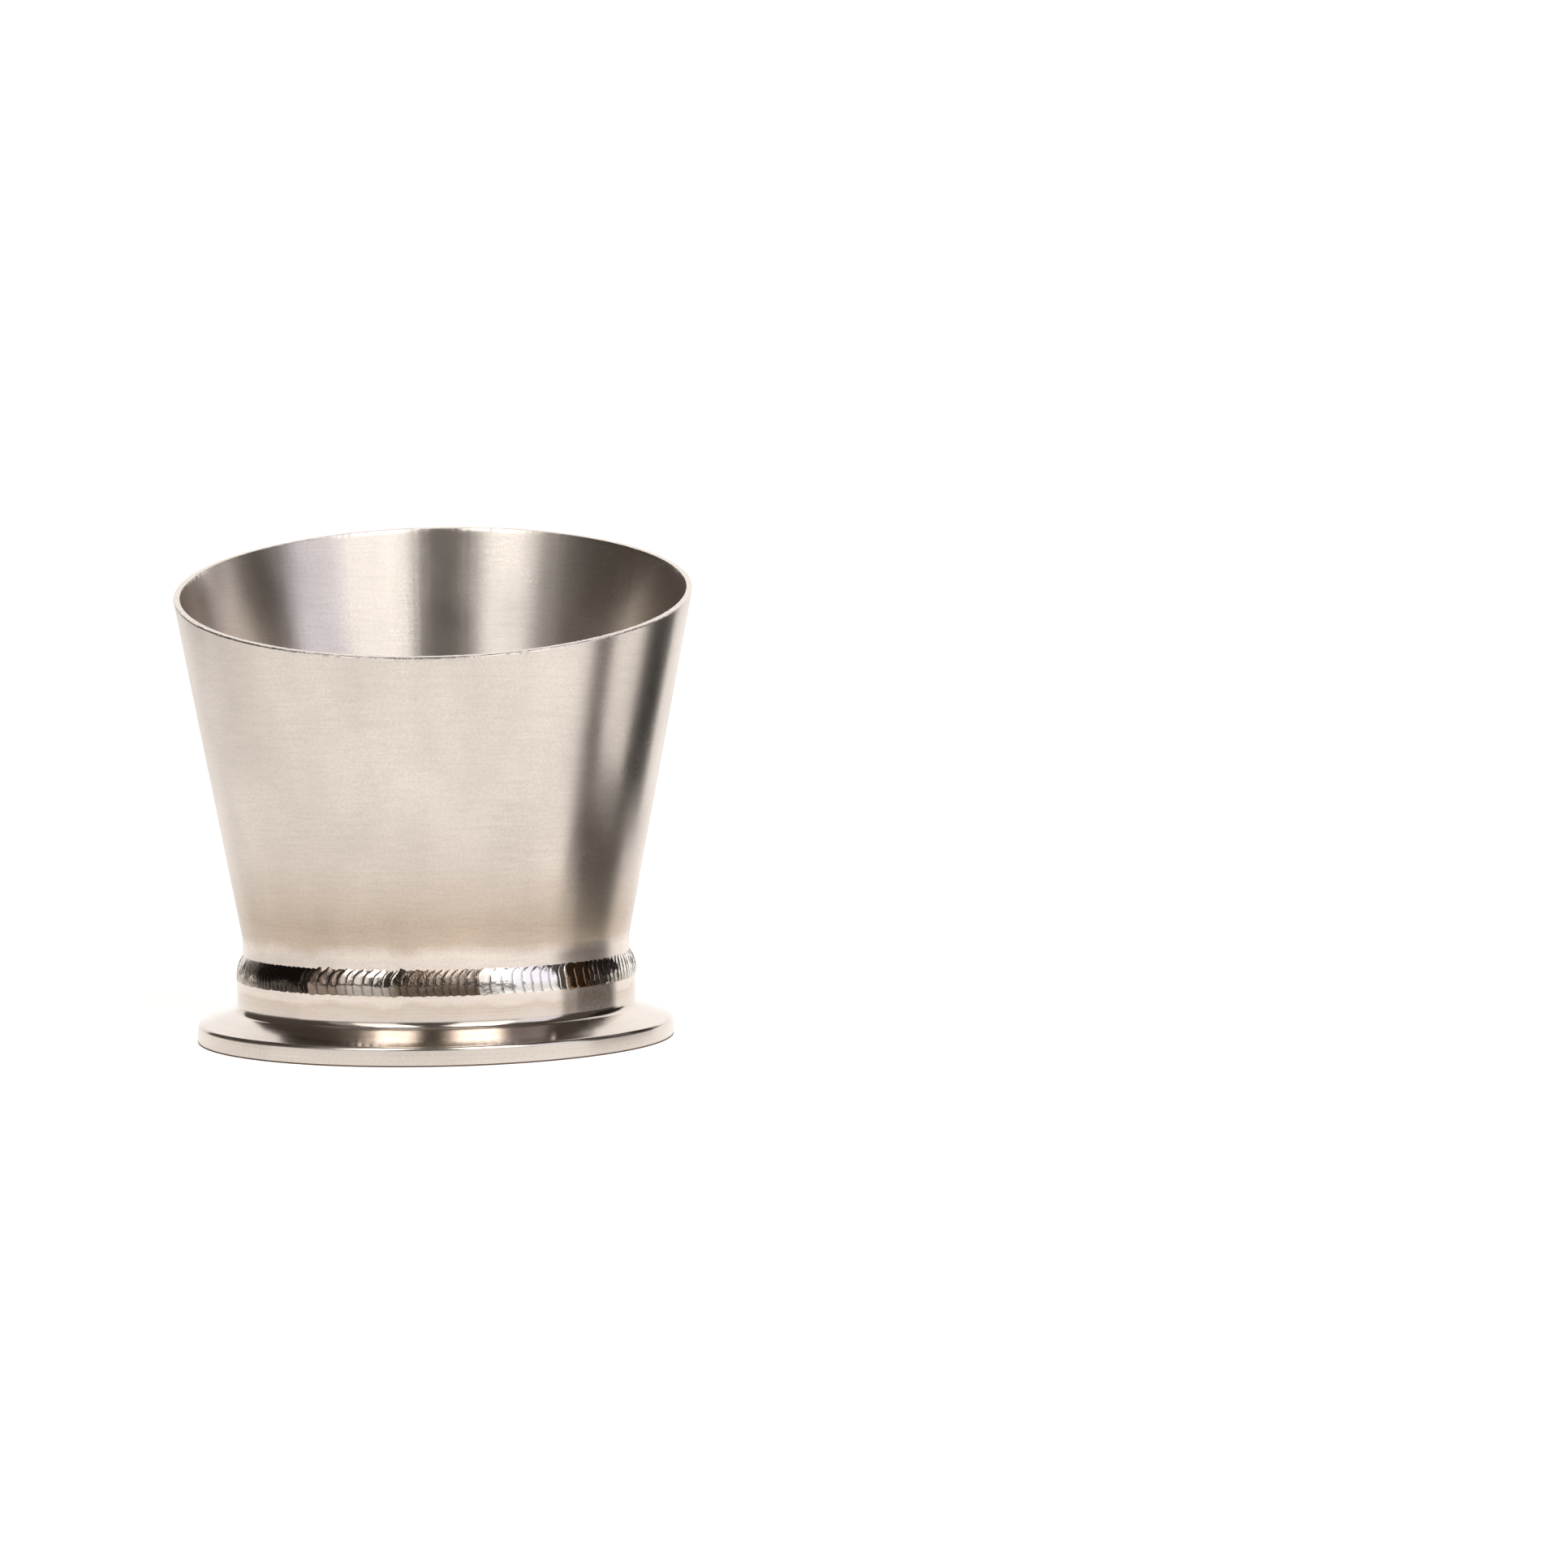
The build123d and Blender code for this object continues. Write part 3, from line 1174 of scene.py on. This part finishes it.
# %% Cards
black_board, grey_board = "#1E1A17", "#4A433D"
card("flag_right", (0.11, 0.012), (0.11, 0.080), 0.020, 0.095, black_board)
card("flag_right_base", (0.11, 0.012), (0.11, 0.045), 0.0, 0.020, grey_board)
card("flag_right_edge", (0.11, -0.043), (0.11, -0.024), 0.0, 0.085, grey_board)
card("flag_right_low", (0.11, -0.024), (0.11, 0.012), 0.0, 0.031, grey_board)
card("flag_right_foot", (0.085, -0.024), (0.085, 0.020), 0.0, 0.012, grey_board)

# %% [markdown]
# The neck is upright, so it mirrors what stands just past the far edges of the floor. A low white rim
# round the set keeps that part white, and the dim room begins above it. On the left the rim is a
# shaded grey, which keeps the left edge of the cone from burning out.

# %% Low white rim
rim_radius, rim_height = 1.22, 0.16
deselect_everything()
bpy.ops.mesh.primitive_circle_add(vertices=96, radius=rim_radius, fill_type="NOTHING")
rim = bpy.context.object
rim.name = "low_rim"
bpy.ops.object.mode_set(mode="EDIT")
bpy.ops.mesh.select_all(action="SELECT")
bpy.ops.mesh.extrude_region_move(TRANSFORM_OT_translate={"value": (0, 0, rim_height)})
bpy.ops.object.mode_set(mode="OBJECT")
dress(rim, glowing_board("low_rim_board", "#FFFDFB"))
rim.data.materials.append(glowing_board("low_rim_shaded_board", "#9A948F"))
for face in rim.data.polygons:
    if face.center.x < -0.7 and -0.21 < face.center.y < 1.0:
        face.material_index = 1
only_in_reflections(rim)

# %% [markdown]
# The room itself is dim and a little warm. Only the camera sees it as white, so that the background
# stays clean past the ends of the sweep.


# %% Room
def dim_room():
    """White to the camera, and a dim warm grey to everything that the room lights or is seen in."""
    world = bpy.data.worlds.new("dim_room")
    bpy.context.scene.world = world
    world.use_nodes = True
    tree = world.node_tree
    tree.nodes.clear()
    seen = add_node(tree, "Background", {"Color": (1, 1, 1, 1), "Strength": 1.0})
    room = add_node(tree, "Background", {"Color": linear("#FFF0E2"), "Strength": 0.085})
    camera_ray = add_node(tree, "LightPath").outputs["Is Camera Ray"]
    mixed = add_node(tree, "MixShader", {0: camera_ray, 1: room, 2: seen})
    add_node(tree, "OutputWorld", {"Surface": mixed})


dim_room()

# %% [markdown]
# ## Camera
#
# The camera stands half a metre in front and a little to the right, with a long lens. It is just
# below the near side of the mouth, and sees the inside because the mouth slants towards it. It is
# turned to the right, so that the part stands left of the middle, and nods down by two degrees.

# %% Camera
camera_place = (47.3 * MM, -534.6 * MM, 68.3 * MM)
pan, nod, roll = math.radians(2.119), math.radians(2.157), math.radians(-0.23)
camera_data = bpy.data.cameras.new("camera")
camera_data.lens, camera_data.sensor_width = 63.46, 36
camera = bpy.data.objects.new("camera", camera_data)
bpy.context.collection.objects.link(camera)
aim = Matrix.Rotation(-pan, 4, "Z") @ Matrix.Rotation(math.pi / 2 - nod, 4, "X")
camera.matrix_world = Matrix.Translation(camera_place) @ aim @ Matrix.Rotation(roll, 4, "Z")
bpy.context.scene.camera = camera
bpy.context.scene.view_settings.view_transform = "Standard"
print("the camera is", round(Vector(camera_place).length, 3), "m from the part's foot")
